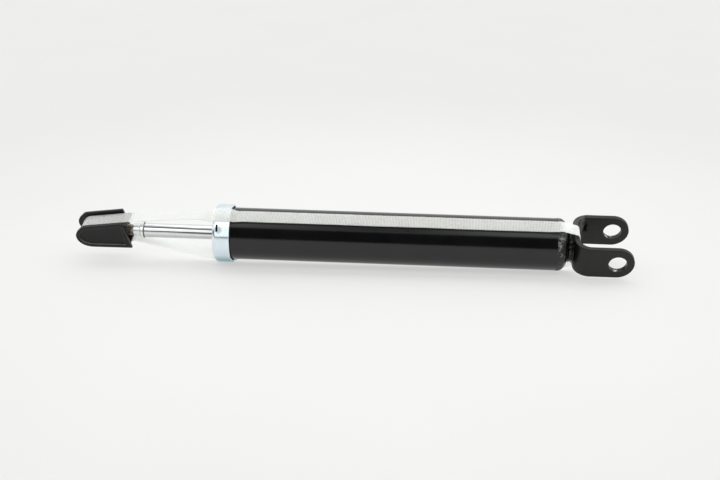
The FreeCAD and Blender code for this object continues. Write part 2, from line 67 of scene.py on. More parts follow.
# --------------------------------------------------------------- node helpers
class Value:
    """A node's output. Arithmetic on it adds Math nodes to its graph."""

    def __init__(self, graph, socket):
        self.graph = graph
        self.socket = socket

    def __add__(self, other):
        return self.graph.math("ADD", self, other)

    def __radd__(self, other):
        return self.graph.math("ADD", other, self)

    def __sub__(self, other):
        return self.graph.math("SUBTRACT", self, other)

    def __rsub__(self, other):
        return self.graph.math("SUBTRACT", other, self)

    def __mul__(self, other):
        return self.graph.math("MULTIPLY", self, other)

    def __truediv__(self, other):
        return self.graph.math("DIVIDE", self, other)

    def __abs__(self):
        return self.graph.math("ABSOLUTE", self)

    def remap(self, start, end, to=(0.0, 1.0), smooth=True):
        """to[0] where the value is start, to[1] where it is end, held outside them."""
        return self.graph.value(
            "ShaderNodeMapRange", dict(enumerate((self, start, end, *to))),
            interpolation_type="SMOOTHSTEP" if smooth else "LINEAR")


class Graph:
    """A node tree built in code. Inputs may be numbers, tuples or Values."""

    def __init__(self, tree):
        self.tree = tree
        tree.nodes.clear()

    def put(self, socket, value):
        if isinstance(value, Value):
            self.tree.links.new(value.socket, socket)
        elif isinstance(value, tuple):
            missing = len(socket.default_value) - len(value)
            socket.default_value = value + (1.0,) * missing
        else:
            socket.default_value = value

    def node(self, kind, inputs=None, **props):
        made = self.tree.nodes.new(kind)
        for key, setting in props.items():
            setattr(made, key, setting)
        for key, value in (inputs or {}).items():
            self.put(made.inputs[key], value)
        return made

    def value(self, kind, inputs=None, output=0, **props):
        return Value(self, self.node(kind, inputs, **props).outputs[output])

    def math(self, operation, *terms, clamp=False):
        return self.value("ShaderNodeMath", dict(enumerate(terms)),
                          operation=operation, use_clamp=clamp)

    def dot(self, first, second):
        return self.value("ShaderNodeVectorMath", {0: first, 1: second}, "Value",
                          operation="DOT_PRODUCT")

    def angle(self, rise, reach):
        """The angle of (reach, rise) in degrees."""
        return self.math("ARCTAN2", rise, reach) * (180.0 / math.pi)

    def coord(self, kind):
        return self.value("ShaderNodeTexCoord", output=kind)


class Mat(Graph):
    """A material with a Principled shader; pos is the place on the object."""

    def __init__(self, name):
        self.material = bpy.data.materials.new(name)
        self.material.use_nodes = True
        super().__init__(self.material.node_tree)
        output = self.node("ShaderNodeOutputMaterial")
        self.shader = self.node("ShaderNodeBsdfPrincipled")
        self.tree.links.new(self.shader.outputs[0], output.inputs[0])
        self.pos = self.coord("Object")

    def shade(self, **inputs):
        for key, value in inputs.items():
            self.put(self.shader.inputs[key.replace("_", " ")], value)
        return self.material

    def mix(self, amount, base, over, kind="MIX"):
        return self.value("ShaderNodeMix", {0: amount, 6: base, 7: over}, 2,
                          data_type="RGBA", blend_type=kind)

    def noise(self, scale=1.0, detail=3.0, rough=0.55, distort=0.0, stretch=None, at=None):
        place = at or self.pos
        if stretch:
            place = self.value("ShaderNodeMapping", {"Vector": place, "Scale": stretch})
        return self.value("ShaderNodeTexNoise", {
            "Vector": place, "Scale": scale, "Detail": detail, "Roughness": rough,
            "Distortion": distort}, "Fac")

    def cells(self, scale):
        return self.value("ShaderNodeTexVoronoi", {"Vector": self.pos, "Scale": scale},
                          "Distance", feature="F1")

    def bump(self, height, strength, distance):
        return self.value("ShaderNodeBump", {
            "Height": height, "Strength": strength, "Distance": distance})

    def geometry(self, output):
        return self.value("ShaderNodeNewGeometry", output=output)

    def edge(self, radius, start=0.02, end=0.25):
        """1 along sharp edges, 0 on open surfaces."""
        rounded = self.value("ShaderNodeBevel", {"Radius": radius}, samples=6)
        return (1.0 - self.dot(rounded, self.geometry("Normal"))).remap(start, end)

    def split(self, vector):
        made = self.node("ShaderNodeSeparateXYZ", {"Vector": vector})
        return [Value(self, socket) for socket in made.outputs]


# ------------------------------------------------------------------ materials
# Places and radii are in metres, colours are linear RGB.
def black_paint(name, gloss, peel, tint, edge_wear_and_highlight=(0.10, 0.10, 0.10), edge_wear_and_highlight_amount=0.5, spec=0.5,
                bore=False):
    """Paint with dust and pale edges, worn and on the fork partly a painted highlight; bore
    adds the marks about the fork's bore, one a painted shadow line.
    """
    mat = Mat(name)
    cloud = mat.noise(scale=38.0, detail=4.0)
    fine = mat.noise(scale=420.0)
    dust_areas = mat.noise(scale=95.0, detail=2.0).remap(0.55, 0.75)
    dust = mat.cells(scale=900.0).remap(0.10, 0.0) * dust_areas
    chips = mat.noise(scale=260.0, detail=4.0, rough=0.7).remap(0.40, 0.72)
    edge = mat.edge(radius=0.0006) * chips
    color = mat.mix(cloud.remap(0.3, 0.7), tint, tuple(2.0 * c for c in tint))
    color = mat.mix(dust * 0.35, color, (0.09, 0.09, 0.085))
    # pale edges: worn paint, and on the fork also a painted highlight along the edges and
    # hole rims
    color = mat.mix(edge * edge_wear_and_highlight_amount, color, edge_wear_and_highlight)
    rough = cloud.remap(0.25, 0.8, to=(gloss * 0.85, gloss * 1.35)) + dust * 0.25
    rough = rough + fine * 0.05
    if bore:
        # paint rubbed off low on the bore's wall
        x, y, z = mat.split(mat.pos)
        radius = mat.math("SQRT", x * x + z * z)
        flakes = mat.noise(scale=330.0, detail=4.0, rough=0.7).remap(0.50, 0.62)
        wall = radius.remap(0.00815, 0.00785) * flakes
        bare = wall * (z.remap(-0.0045, -0.0060) * x.remap(0.0012, -0.0010))
        color = mat.mix(bare, color, (0.80, 0.80, 0.78))
        mat.shade(Metallic=bare * 0.8)
        # scuffed grey patch inside the bend at +y, ending in a ragged painted shadow line
        ragged = x + (mat.noise(scale=330.0, detail=4.0, rough=0.7) - 0.5) * 0.0060
        zone = y.remap(0.0050, 0.0085) * z.remap(-0.0030, 0.0020)
        scuffs = mat.noise(scale=240.0, detail=4.0, rough=0.65)
        patch = (zone * ragged.remap(-0.0250, -0.0262)
                 * scuffs.remap(0.34, 0.66, to=(0.25, 1.0)))
        half_width = z.remap(0.0095, 0.0045, to=(0.0005, 0.0015))
        outside = abs(ragged + 0.0238) - half_width
        painted_shadow_line = (zone * outside.remap(0.0004, -0.0003)
                * z.remap(0.0110, 0.0060, to=(0.35, 1.0)))
        color = mat.mix(patch, color, (0.105, 0.105, 0.102))
        color = mat.mix(painted_shadow_line, color, (0.0005, 0.0005, 0.0005))
        spec = (1.0 - painted_shadow_line * 0.92) * spec
    relief = fine + mat.noise(scale=1500.0, detail=2.0) * 0.35
    return mat.shade(
        Base_Color=color, Roughness=rough, IOR=1.5, Specular_IOR_Level=spec,
        Normal=mat.bump(relief, strength=peel, distance=0.00025))


def weld_bead(name):
    """Black bead with a pale crust, partly real and partly a painted highlight, more of it
    towards the top.
    """
    mat = Mat(name)
    coarse = mat.noise(scale=330.0, distort=0.6)
    fine = mat.noise(scale=1900.0, rough=0.6)
    z = mat.split(mat.pos)[2]
    areas = mat.noise(scale=130.0, detail=2.0).remap(0.40, 0.58, to=(0.35, 1.0))
    # pale crust with a painted highlight, growing towards the top where the light falls
    crust_and_highlight = coarse.remap(0.47, 0.66) * areas * z.remap(0.000, 0.009, to=(0.20, 1.0))
    color = mat.mix(crust_and_highlight, (0.010, 0.0105, 0.010), (0.34, 0.345, 0.33))
    soot = mat.noise(scale=150.0).remap(0.48, 0.7) * 0.6
    color = mat.mix(soot, color, (0.02, 0.02, 0.019))
    return mat.shade(
        Base_Color=color, Roughness=fine.remap(0.3, 0.75, to=(0.20, 0.42)), IOR=1.5,
        Normal=mat.bump(coarse + fine * 0.5, strength=0.9, distance=0.0006))


def zinc(name, light=(0.79, 0.885, 0.935), dark=(0.70, 0.82, 0.885), rough=0.14,
         collar=False):
    """Zinc plate: the collar has dark rims, the rest a painted dark reflection beside each
    slot.
    """
    mat = Mat(name)
    cloud = mat.noise(scale=55.0, detail=5.0, rough=0.6, distort=0.4)
    grain = mat.noise(rough=0.6, stretch=(2600.0, 240.0, 240.0))
    pit_areas = mat.noise(scale=120.0, detail=2.0).remap(0.56, 0.72)
    pits = mat.cells(scale=700.0).remap(0.16, 0.02) * pit_areas
    color = mat.mix(cloud.remap(0.3, 0.7), dark, light)
    warm = mat.noise(scale=21.0).remap(0.5, 0.8) * 0.30
    color = mat.mix(warm, color, (0.84, 0.84, 0.76))
    color = mat.mix(pits * 0.5, color, (0.32, 0.35, 0.36))
    # painted shade: darker blue-green towards the underside, near the table
    x, y, z = mat.split(mat.pos)
    underside_shade_depth = z * 0.80 + y * 0.60
    color = mat.mix(underside_shade_depth.remap(-0.0185, -0.0252), color, (0.22, 0.42, 0.45))
    if collar:
        rims = mat.math("MAXIMUM", x.remap(-0.40985, -0.41030, to=(0.0, 0.62)),
                        x.remap(-0.40800, -0.40745, to=(0.0, 0.88)))
        color = mat.mix(rims, color, (0.09, 0.10, 0.10))
    else:
        # painted reflection: a dark oval every 120 degrees, its middle at 43 degrees
        shifted = mat.angle(z, y * -1.0) + (60.0 - 43.0)
        around = (mat.math("FLOORED_MODULO", shifted, 120.0) - 60.0) / 9.5
        along = (x + 0.3378) / 0.0036
        painted_dark_reflection = (along * along + around * around).remap(1.0, 0.0)
        color = mat.mix(painted_dark_reflection * 0.55, color, (0.16, 0.19, 0.19))
    relief = grain + mat.noise(scale=900.0) * 0.6
    return mat.shade(
        Base_Color=color, Metallic=0.86,
        Roughness=cloud.remap(0.2, 0.8, to=(rough - 0.05, rough + 0.08)) + pits * 0.2,
        Normal=mat.bump(relief, strength=0.10, distance=0.0003))


def rod_metal(name):
    """Hard chrome on the ground length, with painted dark reflection lines, and bright zinc
    on the shank, with a painted dark reflection on the thread.
    """
    mat = Mat(name)
    x = mat.split(mat.pos)[0]
    grind = mat.noise(rough=0.6, stretch=(9000.0, 120.0, 120.0))
    hair = mat.noise(detail=2.0, rough=0.5, stretch=(60.0, 2500.0, 2500.0))
    cloud = mat.noise(scale=90.0)
    stud = x.remap(-0.4103, -0.4105)
    thread = x.remap(-0.4166, -0.4176)
    plate = mat.mix(cloud.remap(0.3, 0.7), (0.74, 0.78, 0.79), (0.84, 0.86, 0.86))
    # painted reflection: the thread is coloured a dull brown for the dark surroundings it
    # mirrors inside the saddle
    thread_dark_reflection = mat.mix(mat.noise(scale=380.0).remap(0.35, 0.7),
                   (0.30, 0.27, 0.22), (0.46, 0.43, 0.37))
    plate = mat.mix(thread, plate, thread_dark_reflection)
    chrome = mat.mix(cloud.remap(0.3, 0.7), (0.78, 0.79, 0.80), (0.83, 0.835, 0.84))
    # painted reflections: dark lines where the reflected direction lies at fixed angles above
    # the table, in degrees from the front
    sine, cosine = math.sin(TABLE_ROLL), math.cos(TABLE_ROLL)
    _, mirror_y, mirror_z = mat.split(mat.coord("Reflection"))
    rise = mirror_y * sine + mirror_z * cosine
    reach = mirror_y * -cosine + mirror_z * sine
    seen = mat.angle(rise, reach)
    gap_angle = x.remap(-0.402, -0.355, to=(72.0, 61.0), smooth=False)
    painted_lamp_gap_line = abs(seen - gap_angle).remap(13.5, 7.0)
    painted_low_dark_line = (abs(seen + 7.0).remap(14.0, 8.0)
                * x.remap(-0.395, -0.350, to=(0.25, 0.85)))
    # painted reflection: the chrome is darker where it mirrors directions down towards the
    # table
    under = seen.remap(-24.0, -85.0)
    chrome = mat.mix(under * 0.42, chrome, (0.30, 0.31, 0.33))
    chrome = mat.mix(painted_lamp_gap_line * 0.90, chrome, (0.10, 0.10, 0.105))
    chrome = mat.mix(painted_low_dark_line, chrome, (0.12, 0.12, 0.125))
    return mat.shade(
        Base_Color=mat.mix(stud, chrome, plate), Metallic=1.0,
        Roughness=hair.remap(0.3, 0.8, to=(0.05, 0.10)) + stud * 0.22,
        Normal=mat.bump(grind + hair * 0.3, strength=0.035, distance=0.0002))


def moulded(name):
    """Black plastic with pale edges, partly worn and partly a painted highlight, scuffs and a
    painted highlight on the upward-facing lip.
    """
    mat = Mat(name)
    spark = mat.noise(scale=1700.0, rough=0.6)
    flow = mat.noise(stretch=(25.0, 60.0, 130.0))
    edge = (mat.edge(radius=0.0009, start=0.015, end=0.14)
            * mat.noise(scale=160.0).remap(0.25, 0.55, to=(0.45, 1.0)))
    scratches = mat.noise(detail=4.0, rough=0.7, stretch=(110.0, 700.0, 420.0))
    scuff = scratches.remap(0.58, 0.76) * mat.noise(scale=45.0, detail=2.0).remap(0.42, 0.7)
    color = mat.mix(flow.remap(0.3, 0.75), (0.0060, 0.0060, 0.0056), (0.0098, 0.0098, 0.0093))
    # pale edges: partly worn, partly a painted highlight
    color = mat.mix(edge * 0.70, color, (0.15, 0.15, 0.148))
    color = mat.mix(scuff * 0.35, color, (0.10, 0.10, 0.098))
    _, y, z = mat.split(mat.pos)
    # painted highlight on the lip's upward-facing walls
    upward = mat.split(mat.geometry("Normal"))[2].remap(0.22, 0.62)
    painted_lip_highlight = upward * abs(y).remap(0.0092, 0.0096) * z.remap(0.001, -0.002)
    color = mat.mix(painted_lip_highlight * 0.85, color, (0.30, 0.30, 0.295))
    return mat.shade(
        Base_Color=color, Roughness=flow.remap(0.25, 0.8, to=(0.30, 0.42)) + scuff * 0.18,
        IOR=1.49, Specular_IOR_Level=0.30,
        Normal=mat.bump(spark, strength=0.22, distance=0.00022))


def webbing(name, gap=0.44, thread=0.935, glow=0.105, nose=False):
    """Flat woven strap: warp along u, weft along v, both in metres on the UV map.

    gap and thread are the opacity between and on the threads, glow the base emission.
    """
    warp_pitch, weft_pitch = 0.00128, 0.00105
    mat = Mat(name)
    run, across, _ = mat.split(mat.value("ShaderNodeUVMap", uv_map="weave"))
    x = mat.split(mat.pos)[0]
    if not nose:
        # on the free spans the weave is counted along the part, so it keeps its pitch
        # at every pose
        flat = x.remap(-0.34540, -0.34545, smooth=False)
        run = run * (1.0 - flat) + x * -1.0 * flat
    warp_count = run / warp_pitch
    weft_count = across / weft_pitch
    warp_wave = abs(mat.math("SINE", warp_count * math.pi))
    weft_wave = abs(mat.math("SINE", weft_count * math.pi))
    cell = mat.math("FLOOR", warp_count) + mat.math("FLOOR", weft_count)
    check = mat.math("MODULO", abs(cell), 2.0)
    warp = weft_wave * (0.62 + check * warp_wave * 0.38)
    weft = warp_wave * (0.45 + (1.0 - check) * weft_wave * 0.55)
    height = mat.math("MAXIMUM", warp, weft)
    along = mat.value("ShaderNodeCombineXYZ", {"X": run, "Y": across, "Z": 0.0})
    fibre = mat.noise(rough=0.6, stretch=(900.0, 9000.0, 1.0), at=along)
    cloud = mat.noise(scale=60.0)
    # painted light: past the cap, with white behind as well as in front, the weave is painted
    # lighter and flatter
    calm = 0.0 if nose else x.remap(-0.3440, -0.3480)
    color = mat.mix(height.remap(0.15, 0.85),
                    mat.mix(calm, (0.76, 0.775, 0.74), (0.82, 0.835, 0.80)),
                    mat.mix(calm, (0.90, 0.915, 0.88), (0.88, 0.895, 0.86)))
    color = mat.mix(cloud.remap(0.35, 0.75) * 0.5, color, (0.87, 0.885, 0.85))
    soil = mat.noise(scale=17.0, detail=4.0).remap(0.55, 0.8) * 0.2
    color = mat.mix(soil, color, (0.82, 0.83, 0.79))
    # painted light: emission stands in for light passing through the yarn from behind, most
    # where nothing dark lies under it
    nose_fade = x.remap(-0.421, -0.415) if nose else 1.0

    def past_cap():
        return x.remap(-0.3445, -0.350) * nose_fade

    over_cap = x.remap(-0.349, -0.343) * x.remap(-0.3275, -0.3290)
    free = x.remap(-0.0502, -0.0450, to=(0.0, 9.0)) + past_cap()
    z = mat.split(mat.pos)[2]
    low = z.remap(-0.002, -0.006) * (past_cap() + x.remap(-0.0530, -0.0470) * 0.9)
    painted_backlight = glow + (over_cap * 0.12 + (free * 0.03 + low * 0.33))
    # the ground shows through, more so between the threads
    woven = height.remap(0.10, 0.80, to=(gap, thread))
    plain = height.remap(0.10, 0.80, to=(0.56, 0.89))
    woven = woven + (plain - woven) * calm
    # uneven packing of the yarn; calm may be a plain number here
    swing = 0.30 - mat.math("MULTIPLY", calm, 0.26)
    uneven = (mat.noise(scale=480.0, rough=0.6) - 0.5) * swing
    cover = woven + uneven + cloud.remap(0.3, 0.7, to=(-0.02, 0.02))
    alpha = mat.math("MULTIPLY", cover, 1.0 - mat.geometry("Backfacing"), clamp=True)
    return mat.shade(
        Base_Color=color, Roughness=fibre.remap(0.2, 0.8, to=(0.48, 0.68)), IOR=1.5,
        Sheen_Weight=0.15, Sheen_Roughness=0.4, Alpha=alpha,
        Emission_Color=(0.97, 1.0, 0.95), Emission_Strength=painted_backlight,
        Normal=mat.bump(height + fibre * 0.22, strength=0.42, distance=0.00022))


def machined(name, dark, light, rough, metallic=1.0):
    """Turned stock, with fine lathe rings about X."""
    mat = Mat(name)
    lathe = mat.noise(rough=0.6, stretch=(7000.0, 200.0, 200.0))
    cloud = mat.noise(scale=120.0, detail=4.0)
    return mat.shade(
        Base_Color=mat.mix(cloud.remap(0.3, 0.7), dark, light), Metallic=metallic,
        Roughness=cloud.remap(0.2, 0.8, to=(rough * 0.85, rough * 1.2)),
        Normal=mat.bump(lathe, strength=0.12, distance=0.0003))


def sintered(name):
    """Grey steel with dark pores."""
    mat = Mat(name)
    pores = mat.cells(scale=2200.0).remap(0.26, 0.06)
    cloud = mat.noise(scale=160.0, detail=4.0)
    color = mat.mix(cloud.remap(0.3, 0.7), (0.20, 0.20, 0.21), (0.30, 0.30, 0.30))
    return mat.shade(
        Base_Color=mat.mix(pores, color, (0.07, 0.07, 0.07)), Metallic=0.8,
        Roughness=cloud.remap(0.2, 0.8, to=(0.42, 0.6)),
        Normal=mat.bump(1.0 - pores, strength=0.25, distance=0.0002))


def rubber(name):
    mat = Mat(name)
    grain = mat.noise(scale=1400.0, rough=0.6)
    color = mat.mix(mat.noise(scale=90.0), (0.012, 0.012, 0.012), (0.03, 0.03, 0.03))
    return mat.shade(
        Base_Color=color, Roughness=grain.remap(0.2, 0.8, to=(0.55, 0.75)),
        Normal=mat.bump(grain, strength=0.25, distance=0.0002))


MATS = {
    "black_paint": black_paint(
        "black_paint_tube", gloss=0.11, peel=0.10, tint=(0.0028, 0.0030, 0.0029)),
    # the fork's pale edges are partly wear and partly a painted edge highlight
    "fork_paint": black_paint(
        "black_paint_fork", gloss=0.34, peel=0.5, tint=(0.0046, 0.0044, 0.0038),
        edge_wear_and_highlight=(0.26, 0.26, 0.25), edge_wear_and_highlight_amount=0.95, spec=0.38, bore=True),
    "black_paint_bead": black_paint(
        "black_paint_bead", gloss=0.13, peel=0.5, tint=(0.0032, 0.0032, 0.0030), edge_wear_and_highlight_amount=0.0),
    "weld": weld_bead("weld_bead"),
    "zinc_plate": zinc("zinc_plate"),
    "collar": zinc("zinc_collar", light=(0.84, 0.86, 0.855), dark=(0.74, 0.79, 0.79),
                   rough=0.16, collar=True),
    "chrome": rod_metal("hard_chrome"),
    "black_plastic": moulded("moulded_plastic"),
    "strap_webbing": webbing("strap_weave"),
    "strap_nose": webbing("strap_weave_nose", gap=0.24, thread=0.90, glow=0.06, nose=True),
    "steel": machined("turned_steel", dark=(0.46, 0.46, 0.47), light=(0.58, 0.58, 0.58),
                      rough=0.3),
    "spring_steel": machined("spring_steel", dark=(0.30, 0.31, 0.34),
                             light=(0.42, 0.43, 0.46), rough=0.26),
    "sintered_steel": sintered("sintered_steel"),
    "bush_bronze": machined("bush_bronze", dark=(0.50, 0.36, 0.19),
                            light=(0.62, 0.46, 0.26), rough=0.32),
    "rubber": rubber("rubber"),
    "ptfe": machined("filled_ptfe", dark=(0.16, 0.13, 0.10), light=(0.24, 0.20, 0.15),
                     rough=0.5, metallic=0.0),
}
SLOT_OF = {part["node"]: part["material_slot"] for part in frame["record"]["subparts"]}
# nodes painted with something other than their slot's material
OWN = {"fork": "fork_paint", "fork_neck": "black_paint_bead", "collar_ring": "collar"}

for node_name, obj in NODES.items():
    node_material = MATS[OWN.get(node_name, SLOT_OF[node_name])]
    if not obj.material_slots:
        obj.data.materials.append(node_material)
    for material_slot in obj.material_slots:
        material_slot.material = node_material


# --------------------------------------------------------------- mesh helpers
def new_object(name, verts, faces):
    mesh = bpy.data.meshes.new(name)
    mesh.from_pydata(verts, [], faces)
    mesh.validate()
    made = bpy.data.objects.new(name, mesh)
    scene.collection.objects.link(made)
    mesh.shade_smooth()
    return made


def fix_normals(mesh):
    bm = bmesh.new()
    bm.from_mesh(mesh)
    bmesh.ops.recalc_face_normals(bm, faces=bm.faces)
    bm.to_mesh(mesh)
    bm.free()


def bevelled_copy(node, name, width, segments):
    """A copy of a CAD node with its edges softened, to be shown in its place."""
    bm = bmesh.new()
    bm.from_mesh(NODES[node].data)
    bmesh.ops.remove_doubles(bm, verts=bm.verts, dist=2e-5)
    bmesh.ops.dissolve_degenerate(bm, dist=1e-6, edges=bm.edges)
    bmesh.ops.dissolve_limit(bm, angle_limit=math.radians(0.6), verts=bm.verts,
                             edges=bm.edges, delimit={"NORMAL"})
    mesh = bpy.data.meshes.new(name)
    bm.to_mesh(mesh)
    bm.free()
    made = bpy.data.objects.new(name, mesh)
    scene.collection.objects.link(made)
    bevel = made.modifiers.new("soft", "BEVEL")
    bevel.width = width
    bevel.segments = segments
    bevel.limit_method = "ANGLE"
    bevel.angle_limit = math.radians(26.0)
    bevel.use_clamp_overlap = True
    depsgraph = bpy.context.evaluated_depsgraph_get()
    done = bpy.data.meshes.new_from_object(made.evaluated_get(depsgraph))
    made.modifiers.clear()
    made.data = done
    done.name = name
    done.shade_smooth()
    done.set_sharp_from_angle(angle=math.radians(38))
    return made


# --------------------------------------------------------------------- saddle
saddle = bevelled_copy("strap_saddle", "saddle_moulding", width=0.00042, segments=4)
saddle.data.materials.clear()
saddle.data.materials.append(MATS["black_plastic"])
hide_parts("strap_saddle")
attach(saddle, "saddle")


# ---------------------------------------------------------- weld beads, in mm
# Profile points are (x, radius, how much the ripple moves the point).
CLOSURE_START, CLOSURE_END = -50.45, -43.45
CLOSURE_STEPS = 26
SHOULDER_X, SHOULDER_CENTRE, SHOULDER_RADIUS = -49.5, 14.0, 8.5
NECK_OUTLINE = [  # (x, radius)
    (-40.9, 13.7), (-40.4, 14.3), (-39.8, 14.6), (-39.1, 14.72), (-38.4, 14.5), (-37.9, 14.3),
    (-37.5, 14.45), (-37.1, 14.95), (-36.7, 15.3), (-36.3, 15.45), (-36.05, 15.35)]


def ring_noise(x, turn, x_scale, ring_scale):
    """Noise that closes on itself around the ring."""
    return noise.noise(Vector((x * x_scale, math.sin(turn) * ring_scale,
                               math.cos(turn) * ring_scale)))


def closure_profile():
    """From the tube's end over the rounded shoulder, closed by a flat inside."""
    points = []
    for i in range(CLOSURE_STEPS + 1):
        x = CLOSURE_START + (CLOSURE_END - CLOSURE_START) * i / CLOSURE_STEPS
        radius = SHOULDER_CENTRE + SHOULDER_RADIUS
        if x >= SHOULDER_X:
            rise = max(SHOULDER_RADIUS ** 2 - (x - SHOULDER_X) ** 2, 0)
            radius = SHOULDER_CENTRE + math.sqrt(rise)
        share = min(max((i / CLOSURE_STEPS - 0.02) / 0.96, 0), 1)
        weight = math.sin(math.pi * share) ** 0.55
        points.append((x, radius + 0.10 * weight, weight))
    return points + [(-43.5, 19.75, 0), (-48.4, 21.02, 0), (CLOSURE_START, 21.02, 0)]


def closure_height(x, turn):
    """44 leaning sawtooth ripples, calmed in a band about y = -3."""
    share = (x + 50.5) / 7.0
    lean = 0.9 * (1 - (2 * share - 1) ** 2)
    coarse = ring_noise(x, turn, 0.55, 9)
    fine = ring_noise(x, turn, 1.7, 26)
    saw = (turn * 44 / (2 * math.pi) + lean * 0.55 + 0.25 * coarse) % 1.0
    height = 0.22 * (saw ** 1.6 - 0.4) + 0.20 * coarse + 0.13 * fine
    from_band = -math.sin(turn) * 22.0 + 3.0
    calm = math.exp(-(from_band / 10.5) ** 6)
    return height * (1 - calm) - 0.12 * calm + 0.05 * fine


def neck_profile():
    """The outline with three points to each stretch, closed by a flat inside."""
    points = []
    for (x0, radius0), (x1, radius1) in zip(NECK_OUTLINE, NECK_OUTLINE[1:]):
        for j in range(3):
            share = j / 3
            x = x0 * (1 - share) + x1 * share
            radius = radius0 * (1 - share) + radius1 * share
            weight = min(1.0, (x + 40.95) / 0.9, (-36.0 - x) / 0.5)
            points.append((x, radius, max(weight, 0.0)))
    return points + [(-36.04, 15.3, 0), (-36.04, 13.03, 0), (-40.95, 13.03, 0)]


def neck_height(x, turn):
    """19 soft lobes, with noise."""
    lobe = math.cos(turn * 19 + 2.4 * ring_noise(x, turn, 0.35, 3) + 0.5 * (x + 41))
    coarse = ring_noise(x, turn, 0.9, 5)
    fine = ring_noise(x, turn, 2.2, 17)
    return 0.10 * lobe + 0.36 * coarse + 0.14 * fine


def add_bead(name, profile, around, height, slot, replaced):
    """Closed ring swept about X from a profile, rippled by height(x, turn)."""
    verts, faces = [], []
    count = len(profile)
    for i in range(around):
        turn = 2 * math.pi * i / around
        for x, radius, weight in profile:
            out = radius + weight * height(x, turn)
            verts.append((x * MM, -math.sin(turn) * out * MM, math.cos(turn) * out * MM))
    for i in range(around):
        here, there = i * count, ((i + 1) % around) * count
        for j in range(count):
            k = (j + 1) % count
            faces.append((here + j, here + k, there + k, there + j))
    bead = new_object(name, verts, faces)
    fix_normals(bead.data)
    bead.data.materials.append(MATS[slot])
    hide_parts(replaced)
    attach(bead, "barrel")


add_bead("closure_bead", closure_profile(), around=720, height=closure_height,
         slot="weld", replaced="closure_weld")
add_bead("neck_bead", neck_profile(), around=540, height=neck_height,
         slot="black_paint_bead", replaced="neck_weld")

# --------------------------------------------------------------- strap, in mm
HALF_WIDTH, HALF_THICK = 6.8, 0.30
CAP_SURFACE, TUBE_SURFACE = 25.7, 22.9  # radii the strap lies on
CAP_DRAPE = 0.95
CUT_X = -391.0  # where the main piece ends on both free spans

# sideways place of the strap's middle, (x, y), for the upper and lower runs
MIDDLE_TOP = [
    (-480.0, 1.0), (-416.0, 1.0), (-344.0, -6.2), (-329.0, -6.2), (-318.0, -4.9),
    (-60.0, -4.8), (-50.0, -5.3), (-43.0, -4.1), (-36.0, -1.5), (-24.0, -0.4)]
MIDDLE_LOW = [
    (-480.0, 1.0), (-416.0, 1.0), (-344.0, -1.2), (-60.0, -1.2), (-36.0, 0.0), (-24.0, 0.5)]

# upper half of the loop, (x, z): from the fork web's inner face, over the closed end,
# along the tube and over the bump cap
HALF_LOOP = [
    (-31.3, 0.0), (-31.3, 7.0), (-31.3, 13.4), (-31.7, 15.1), (-33.0, 16.4), (-35.3, 17.4),
    (-38.6, 19.0), (-42.8, 21.2), (-47.0, 22.9), (-51.5, 23.12), (-58.0, 22.98),
    *((-58.0 - 25.0 * i, 22.92) for i in range(1, 10)),
    (-300.0, 22.92), (-312.0, 22.92), (-320.5, 22.95), (-323.6, 23.2), (-325.6, 24.05),
    (-327.2, 25.2), (-329.0, 25.68), (-332.0, 25.66), (-336.0, 25.64), (-339.0, 25.64),
    (-341.2, 25.54), (-342.9, 25.2)]

# the turn round the saddle, (x, z), from the top span to the bottom one
NOSE = [
    (-416.0, 12.9), (-420.0, 12.45), (-424.6, 11.86), (-432.0, 10.80), (-440.0, 9.62),
    (-448.0, 8.45), (-454.5, 7.55), (-457.465, 7.1), (-459.4, 6.15), (-461.0, 4.75),
    (-462.45, 3.1), (-463.455, 1.45), (-463.85, -0.385), (-463.599, -2.357),
    (-462.729, -4.242), (-461.318, -5.832), (-459.429, -7.099), (-457.302, -7.946),
    (-454.959, -8.39), (-448.0, -8.37), (-438.0, -8.33), (-427.0, -8.29), (-416.0, -8.25)]


def catmull(controls, step):
    """A smooth centripetal curve through the controls, with points about step / 2 apart."""
    def between(p, q, t, t_p, t_q):
        return p * ((t_q - t) / (t_q - t_p)) + q * ((t - t_p) / (t_q - t_p))

    out = []
    knots = [Vector(point) for point in controls]
    knots = [knots[0] * 2 - knots[1]] + knots + [knots[-1] * 2 - knots[-2]]
    for i in range(1, len(knots) - 2):
        p0, p1, p2, p3 = knots[i - 1:i + 3]
        t0 = 0.0
        t1 = t0 + max((p1 - p0).length, 1e-6) ** 0.5
        t2 = t1 + max((p2 - p1).length, 1e-6) ** 0.5
        t3 = t2 + max((p3 - p2).length, 1e-6) ** 0.5
        count = max(2, int((p2 - p1).length / step * 2))
        for j in range(count):
            t = t1 + (t2 - t1) * j / count
            a1 = between(p0, p1, t, t0, t1)
            a2 = between(p1, p2, t, t1, t2)
            a3 = between(p2, p3, t, t2, t3)
            b1 = between(a1, a2, t, t0, t2)
            b2 = between(a2, a3, t, t1, t3)
            out.append(between(b1, b2, t, t1, t2))
    out.append(knots[-2])
    return out


def ease(start, end, share):
    share = min(max(share, 0.0), 1.0)
    share = share * share * (3 - 2 * share)
    return start + (end - start) * share


def y_centre(x, low):
    """Sideways place of the strap along the part."""
    line = MIDDLE_LOW if low else MIDDLE_TOP
    for (x0, y0), (x1, y1) in zip(line, line[1:]):
        if x <= x1:
            return y0 + (y1 - y0) * (x - x0) / (x1 - x0)
    return line[-1][1]


def drape(x, low):
    """How far the strap's edges follow the round below, 0 flat, 1 fully."""
    tube = 0.97 if low else 0.32
    if x < -360:
        return 0.0
    if x < -344:
        return ease(0.0, CAP_DRAPE, (x + 360) / 16)
    if x < -329:
        return CAP_DRAPE
    if x < -322:
        return ease(CAP_DRAPE, tube, (x + 329) / 7)
    if x < -62:
        return tube
    if low:
        return ease(tube, 0.0, (x + 47) / 7)
    return ease(tube, 0.0, (x + 62) / 18)


